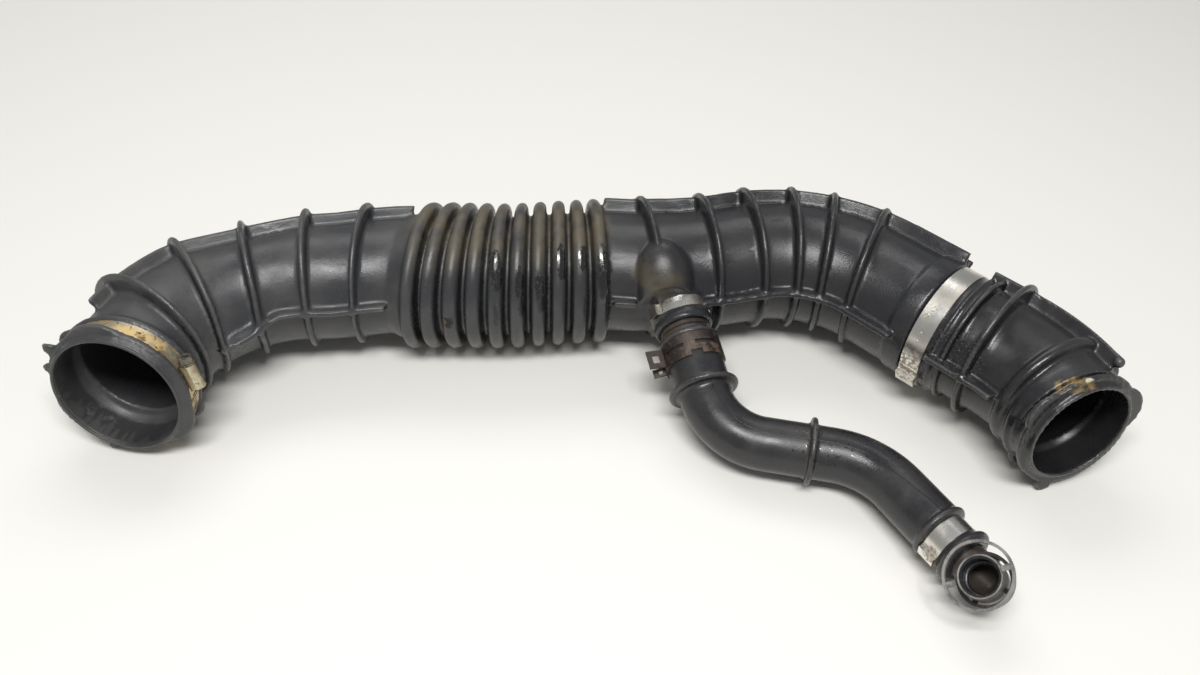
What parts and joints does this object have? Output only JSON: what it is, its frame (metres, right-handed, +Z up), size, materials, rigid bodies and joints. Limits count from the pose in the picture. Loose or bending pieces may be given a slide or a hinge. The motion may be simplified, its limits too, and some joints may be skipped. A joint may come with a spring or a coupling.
{
  "type": "air duct connector",
  "caption": "Ribbed rubber intake air duct with a bellows, an angled outlet elbow, a breather branch with a bent hose and quick connector, and its clamps.",
  "frame": {"origin": "centre of the inlet mouth", "axes": "+X along the bellows towards the outlet arm, +Y away from the two mouths, +Z up from the floor it lies on"},
  "size_m": [0.6324, 0.3074, 0.0957],
  "materials": {
    "duct_rubber": "satin black moulded rubber, dusty",
    "elbow_rubber": "satin black moulded rubber",
    "hose_rubber": "satin black moulded rubber",
    "seal_rubber": "smooth black rubber",
    "clamp_steel": "bright band steel, lightly stained",
    "sleeve_steel": "plain steel",
    "worm_zinc": "zinc plated steel, dull",
    "spring_steel": "dark phosphated spring steel with rust",
    "fitting_plastic": "dark glass filled plastic",
    "ring_plastic": "grey plastic"
  },
  "bodies": {
    "root": {"main_duct": "duct_rubber", "outlet_elbow": "elbow_rubber", "joint_sleeve": "sleeve_steel", "joint_clamp": "clamp_steel", "inlet_clamp_band": "clamp_steel", "inlet_clamp_housing": "worm_zinc", "inlet_clamp_screw": "worm_zinc", "branch_clamp": "clamp_steel", "branch_nozzle": "fitting_plastic", "spring_clamp": "spring_steel", "breather_hose": "hose_rubber", "hose_end_clamp": "clamp_steel", "quick_connector": "fitting_plastic", "fitting_seal": "seal_rubber", "seal_retainer": "ring_plastic", "release_ring": "ring_plastic"}
  },
  "joints": []
}
